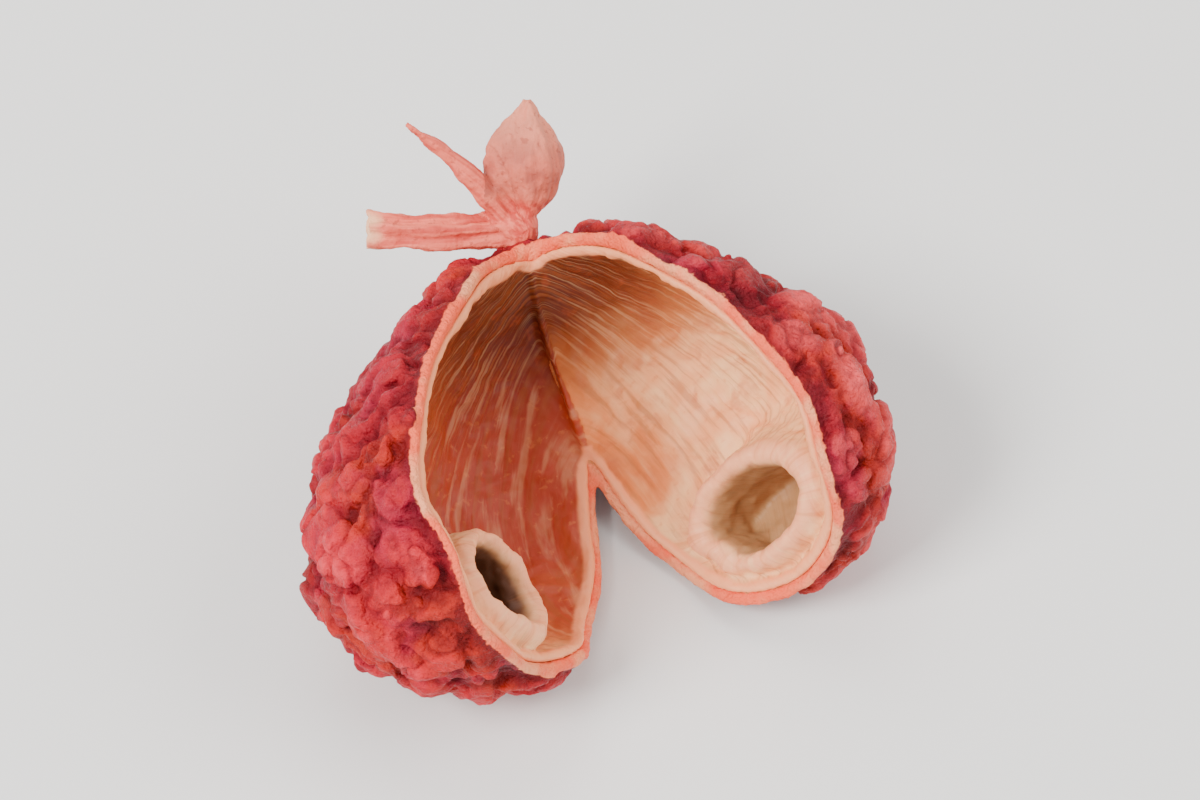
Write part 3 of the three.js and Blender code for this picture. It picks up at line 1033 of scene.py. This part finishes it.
def rindMaterial():
    look = rindLook
    material, tree = newMaterial("dried rind")
    place = addNode(tree, "ShaderNodeTexCoord", out="Object")
    wart, tone, crease, wrinkle, rim, inside = (
        addNode(tree, "ShaderNodeAttribute", out="Fac", attribute_name=name)
        for name in ("wart", "tone", "crease", "wrinkle", "rim", "inside")
    )
    patch, blush, speck, grain = (
        addNode(tree, "ShaderNodeTexNoise", {
            "Vector": place, "Scale": 1 / (look[size] * metresPerMm), "Detail": 3.0,
        })
        for size in ("patchSize", "blushSize", "speckSize", "grainSize")
    )
    bent = addNode(tree, "ShaderNodeVectorMath", {
        0: blush.node.outputs["Color"], 1: (look["pebbleBend"] * metresPerMm,) * 3, 2: place,
    }, operation="MULTIPLY_ADD")
    pebble = addNode(tree, "ShaderNodeTexVoronoi", {
        "Vector": bent, "Scale": 1 / (look["pebbleSize"] * metresPerMm),
    }, out="Distance")
    high = addNode(tree, "ShaderNodeMath", {0: wrinkle, 1: 1.2, 2: wart}, operation="MULTIPLY_ADD")
    sideways = addNode(tree, "ShaderNodeSeparateXYZ", {"Vector": place}, out="X")
    # the raised tops turn paler towards the right side
    toRight = addNode(tree, "ShaderNodeMapRange", {0: sideways, 1: 0.0, 2: look["paleFrom"] * metresPerMm})
    paleOnRightTops = addNode(tree, "ShaderNodeMath", {0: toRight, 1: high}, operation="MULTIPLY")
    ragged = addNode(tree, "ShaderNodeMath", {0: speck, 1: 0.8, 2: rim}, operation="MULTIPLY_ADD")
    onRim = addNode(tree, "ShaderNodeMapRange", {0: ragged, 1: 0.72, 2: 0.98})
    skin = coats(tree, colour(look["crimson"]), look, (
        (patch, 0.47, 0.6, 0.7, "orange"),
        (blush, 0.46, 0.6, 0.75, "rose"),
        (tone, 0.6, 0.95, 0.4, "orange"),
        # partly paler tissue and partly a painted highlight: the raised tops of the warts and wrinkles turn
        # paler coral
        (high, 0.45, 1.3, 0.75, "wartTopAndHighlight"),
        (high, 1.0, 1.5, 0.55, "palestTopAndHighlight"),
        (paleOnRightTops, 0.3, 1.5, 0.4, "paleOnRightTops"),
        (tone, 0.14, 0.08, 0.55, "darkGland"),
        # painted shade in the low places between the warts and in the drying creases
        (high, 0.55, 0.05, 0.7, "crease"),
        (crease, -0.3, -1.0, 0.4, "crease"),
        # painted shade in the fine grooves between the pebbles, where the bump sinks too
        (pebble, 0.45, 0.85, 0.26, "speck"),
        (speck, 0.6, 0.72, 0.3, "speck"),
        (inside, 0.2, 0.6, 1.0, "innerWall"),
        (onRim, 0.0, 1.0, 1.0, "rimSalmon"),
    ))
    creamy = addNode(tree, "ShaderNodeMapRange", {0: blush, 1: 0.42, 2: 0.64},
                     interpolation_type="SMOOTHSTEP")
    creamyRim = addNode(tree, "ShaderNodeMath", {0: creamy, 1: onRim}, operation="MULTIPLY")
    skin = addNode(tree, "ShaderNodeMix", {0: creamyRim, 6: skin, 7: colour(look["rimCream"])}, out=2,
                   data_type="RGBA")
    dome = addNode(tree, "ShaderNodeMath", {0: pebble, 1: 2.0}, operation="POWER")
    fine = addNode(tree, "ShaderNodeMath", {0: dome, 1: -0.7, 2: grain}, operation="MULTIPLY_ADD")
    rough = addNode(tree, "ShaderNodeMapRange", {0: speck, 1: 0.3, 2: 0.7, 3: 0.38, 4: 0.62})
    endMaterial(tree, look, fine, 0.9, {
        "Base Color": skin, "Roughness": rough, "IOR": 1.45, "Specular IOR Level": 0.18,
        "Subsurface Weight": 0.05, "Subsurface Radius": (1.0, 0.25, 0.15),
    })
    return material


# Papery lining: thin peach-cream skin with fine fibres, that lets some light through and is stained amber,
# with painted shade where it lies deep towards the stalk and inside the rolled mouths
paperLook = {
    "cream": "#f8b078",
    "pale": "#ffcc94",
    "honey": "#de8044",
    "amber": "#b54c26",
    # painted shade deep in the cups towards the stalk end
    "stalkEndShade": "#4c1404",
    "red": "#a83422",
    "olive": "#8a4e24",
    # painted shade inside the rolled mouths
    "hollow": "#a97a50",
    # deeper painted shade inside the left rolled mouth
    "dark": "#421808",
    "fibre": "#a45c30",
    "lip": "#ffa87c",
    "edge": "#ffa270",
    # sizes in millimetres
    "cloudSize": 0.5,
    "crackSize": 0.2,
    "speckSize": 0.07,
    "reliefHeight": 0.02,
    "lightDepth": 0.15,
    # as shares of the valve's width and of the mouth's
    "fibreWidth": 0.035,
    "fibreStretch": 0.1,
    "pleatWidth": 0.1,
}


def liningMaterial():
    look = paperLook
    material, tree = newMaterial("papery lining")
    at = addNode(tree, "ShaderNodeTexCoord", out="Object")
    place, across, meridian, rim, mouth, lip, stain, left, spokeX, spokeY, pleated = (
        addNode(tree, "ShaderNodeAttribute", out="Fac", attribute_name=name)
        for name in ("place", "across", "meridian", "rim", "mouth", "lip", "stain", "left",
                     "spokeX", "spokeY", "pleated")
    )
    cloud, crack, speck = (
        addNode(tree, "ShaderNodeTexNoise", {
            "Vector": at, "Scale": 1 / (look[size] * metresPerMm), "Detail": 4.0, "Distortion": 0.4,
        })
        for size in ("cloudSize", "crackSize", "speckSize")
    )
    slow = addNode(tree, "ShaderNodeMath", {0: place, 1: look["fibreStretch"]}, operation="MULTIPLY")
    lengthwise = addNode(tree, "ShaderNodeCombineXYZ", {"X": meridian, "Y": slow})
    spokes = addNode(tree, "ShaderNodeCombineXYZ", {"X": spokeX, "Y": spokeY})
    fibre, pleat = (
        addNode(tree, "ShaderNodeTexNoise", {
            "Vector": vector, "Scale": 1 / look[width], "Detail": 4.0, "Distortion": 0.2,
        })
        for vector, width in ((lengthwise, "fibreWidth"), (spokes, "pleatWidth"))
    )
    evenPleat = addNode(tree, "ShaderNodeMath", {0: pleat, 1: 0.5}, operation="SUBTRACT")
    streak = addNode(tree, "ShaderNodeMath", {0: evenPleat, 1: pleated}, operation="MULTIPLY")
    uneven = addNode(tree, "ShaderNodeMath", {0: cloud, 1: 1.3, 2: -0.65}, operation="MULTIPLY_ADD")
    blotched = addNode(tree, "ShaderNodeMath", {0: stain, 1: uneven}, operation="ADD")
    onLeft = addNode(tree, "ShaderNodeMath", {0: left, 1: across}, operation="MULTIPLY")
    toBack, toFront = (
        addNode(tree, "ShaderNodeMapRange", {0: onLeft, 1: start, 2: full}, interpolation_type="SMOOTHSTEP")
        for start, full in ((0.1, -0.6), (0.3, 0.9))
    )
    redStain, oliveStain = (
        addNode(tree, "ShaderNodeMath", {0: side, 1: stain}, operation="MULTIPLY")
        for side in (toBack, toFront)
    )
    # where the left mouth gets its deeper painted shade
    leftMouthShade = addNode(tree, "ShaderNodeMath", {0: mouth, 1: left}, operation="MULTIPLY")
    paper = coats(tree, colour(look["cream"]), look, (
        (cloud, 0.42, 0.6, 0.8, "pale"),
        (blotched, 0.1, 0.42, 0.9, "honey"),
        (blotched, 0.4, 0.85, 0.9, "amber"),
        (redStain, 0.15, 0.75, 0.75, "red"),
        (oliveStain, 0.1, 0.7, 0.7, "olive"),
        (speck, 0.58, 0.7, 0.35, "honey"),
        # painted shade, deep in the cups towards the stalk end
        (place, -0.25, -0.8, 0.92, "stalkEndShade"),
        (fibre, 0.5, 0.66, 0.45, "fibre"),
        (fibre, 0.5, 0.34, 0.22, "pale"),
        (crack, 0.56, 0.72, 0.35, "amber"),
        # painted shade inside the rolled mouths, deepest in the left one
        (mouth, 0.0, 0.8, 0.9, "hollow"),
        (leftMouthShade, 0.1, 0.8, 0.92, "dark"),
        (lip, 0.25, 0.9, 0.85, "lip"),
        (streak, 0.03, 0.18, 0.45, "honey"),
        (streak, -0.03, -0.16, 0.3, "pale"),
        (rim, 0.2, 0.8, 0.9, "edge"),
    ))
    endMaterial(tree, look, fibre, 0.5, {
        "Base Color": paper, "Roughness": 0.5, "IOR": 1.5, "Specular IOR Level": 0.3,
        "Subsurface Weight": 0.12, "Subsurface Radius": (1.0, 0.5, 0.25),
    })
    return material


# Dry stalk: matt salmon-pink bark with fine long ridges, duller on the bud and pale where it has snapped
woodLook = {
    "bark": "#cc463a",
    "paleBark": "#fa7a62",
    "budSkin": "#d26c54",
    "budTop": "#ee9476",
    "budShade": "#a24a3e",
    "speck": "#8c3024",
    "snapped": "#ffc092",
    # sizes in millimetres
    "grainSize": 0.05,
    "grainStretch": 0.12,
    "mottleSize": 0.28,
    "speckSize": 0.055,
    "fineSize": 0.03,
    "reliefHeight": 0.02,
    "lightDepth": 0.2,
}


def stalkMaterial():
    look = woodLook
    material, tree = newMaterial("dry stalk")
    at = addNode(tree, "ShaderNodeTexCoord", out="Object")
    broken, bud, budUp = (
        addNode(tree, "ShaderNodeAttribute", out="Fac", attribute_name=name)
        for name in ("broken", "bud", "budUp")
    )
    lengthwise = addNode(tree, "ShaderNodeAttribute", out="Vector", attribute_name="lengthwise")
    grain, mottle, speck, fine = (
        addNode(tree, "ShaderNodeTexNoise", {"Vector": vector, "Scale": 1 / size, "Detail": 3.0})
        for vector, size in (
            (lengthwise, look["grainSize"]),
            (at, look["mottleSize"] * metresPerMm),
            (at, look["speckSize"] * metresPerMm),
            (at, look["fineSize"] * metresPerMm),
        )
    )
    topMask = addNode(tree, "ShaderNodeMath", {0: bud, 1: budUp}, operation="MULTIPLY")
    shade = addNode(tree, "ShaderNodeMath", {0: bud, 1: mottle}, operation="MULTIPLY")
    bark = coats(tree, colour(look["bark"]), look, (
        (grain, 0.38, 0.62, 0.8, "paleBark"),
        (mottle, 0.45, 0.7, 0.4, "paleBark"),
        (bud, 0.1, 0.9, 0.8, "budSkin"),
        (shade, 0.42, 0.6, 0.65, "budShade"),
        (topMask, 0.4, 0.9, 0.6, "budTop"),
        (speck, 0.6, 0.7, 0.4, "speck"),
        (broken, 0.2, 0.9, 0.9, "snapped"),
    ))
    uneven = addNode(tree, "ShaderNodeMath", {0: grain, 1: fine}, operation="ADD")
    endMaterial(tree, look, uneven, 0.6, {
        "Base Color": bark, "Roughness": 0.62, "IOR": 1.45, "Specular IOR Level": 0.3,
        "Subsurface Weight": 0.06, "Subsurface Radius": (1.0, 0.4, 0.25),
    })
    return material


# Making the pieces and setting them on the frame, by the box of the husk there
husk = makeHusk(rindMaterial())
print("stage: husk made,", len(husk.data.polygons), "faces")
lining = makeLining(liningMaterial())
print("stage: lining made,", len(lining.data.polygons), "faces")
stalk = makeStalk(stalkMaterial())
print("stage: stalk made,", len(stalk.data.polygons), "faces")

lowest, highest = (np.array(corner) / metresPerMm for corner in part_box("husk"))
huskPoints = leanBack(coordinates(husk.data))
shift = (lowest + highest) / 2 - (huskPoints.min(axis=0) + huskPoints.max(axis=0)) / 2
shift[2] = highest[2] - huskPoints[:, 2].max()
placed = []
for piece, node, slot in (
    (husk, "husk", "husk_skin"),
    (lining, "lining", "lining_paper"),
    (stalk, "stalk", "stalk_wood"),
):
    points = leanBack(coordinates(piece.data)) + shift
    points[:, 2] = np.maximum(points[:, 2], 0)  # the lowest warts are pressed flat
    points = points * metresPerMm
    piece.data.vertices.foreach_set("co", points.ravel())
    piece.data.update()
    piece.data.shade_smooth()
    placed.append(points)
    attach(piece, "root")
    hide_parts(node)
print("stage: set on the frame, moved by", shift.round(3), "mm")

# Floor, light and camera. Distances in metres, angles in degrees, light in watts.
stageLook = {
    "floorSize": 0.6,
    "floorColour": "#e8e6e3",
    "azimuth": -24,
    "elevation": 56,
    "lens": 200,
    "sensor": 36,
    "filled": 0.76,  # the share of the picture's height that the husk takes up
    "imageShape": 1200 / 800,
    "room": 0.69,
    "softboxes": [
        {"name": "key", "azimuth": -78, "elevation": 48, "distance": 0.09, "size": 0.035, "watts": 0.121},
        {"name": "fill", "azimuth": 60, "elevation": 45, "distance": 0.12, "size": 0.09, "watts": 0.1},
        {"name": "top", "azimuth": 170, "elevation": 62, "distance": 0.1, "size": 0.06, "watts": 0.034},
    ],
}


# Pale card: smooth and matt, a little warmer than white, and dull enough for soft shadows to show
def floorMaterial():
    material, tree = newMaterial("pale card")
    shader = addNode(tree, "ShaderNodeBsdfPrincipled", {
        "Base Color": colour(stageLook["floorColour"]), "Roughness": 0.8,
    })
    addNode(tree, "ShaderNodeOutputMaterial", {"Surface": shader})
    return material


half = stageLook["floorSize"] / 2
corners = np.array([(-half, -half, 0), (half, -half, 0), (half, half, 0), (-half, half, 0)])
floor = meshObject("floor", corners, [(0, 1, 2, 3)])
floor.data.materials.append(floorMaterial())


def towards(azimuth, elevation):
    a, e = math.radians(azimuth), math.radians(elevation)
    return Vector((math.sin(a) * math.cos(e), -math.cos(a) * math.cos(e), math.sin(e)))


# The camera looks at the middle of the husk as it shows, from as far as fills the picture
view = towards(stageLook["azimuth"], stageLook["elevation"])
turned = (-view).to_track_quat("-Z", "Y")
axes = np.array([turned @ Vector(axis) for axis in ((1, 0, 0), (0, 1, 0), (0, 0, 1))])
seen = np.vstack(placed) @ axes.T
middle = (seen.min(axis=0) + seen.max(axis=0)) / 2
size = seen.max(axis=0) - seen.min(axis=0)
target = Vector(middle @ axes)
distance = size[1] * stageLook["lens"] * stageLook["imageShape"]
distance = distance / (stageLook["filled"] * stageLook["sensor"])

for box in stageLook["softboxes"]:
    light = bpy.data.lights.new(box["name"], "AREA")
    light.size = box["size"]
    light.energy = box["watts"]
    lamp = addObject(box["name"], light)
    way = towards(box["azimuth"], box["elevation"])
    lamp.location = target + way * box["distance"]
    lamp.rotation_euler = (-way).to_track_quat("-Z", "Y").to_euler()
world = bpy.data.worlds.new("soft white room")
world.use_nodes = True
world.node_tree.nodes["Background"].inputs["Color"].default_value = colour("#ffffff")
world.node_tree.nodes["Background"].inputs["Strength"].default_value = stageLook["room"]
bpy.context.scene.world = world

cameraData = bpy.data.cameras.new("camera")
cameraData.lens = stageLook["lens"]
cameraData.sensor_width = stageLook["sensor"]
cameraData.clip_start = 0.001
camera = addObject("camera", cameraData)
camera.location = target + view * distance
camera.rotation_euler = turned.to_euler()
bpy.context.scene.camera = camera
print("stage: floor, light and camera placed")
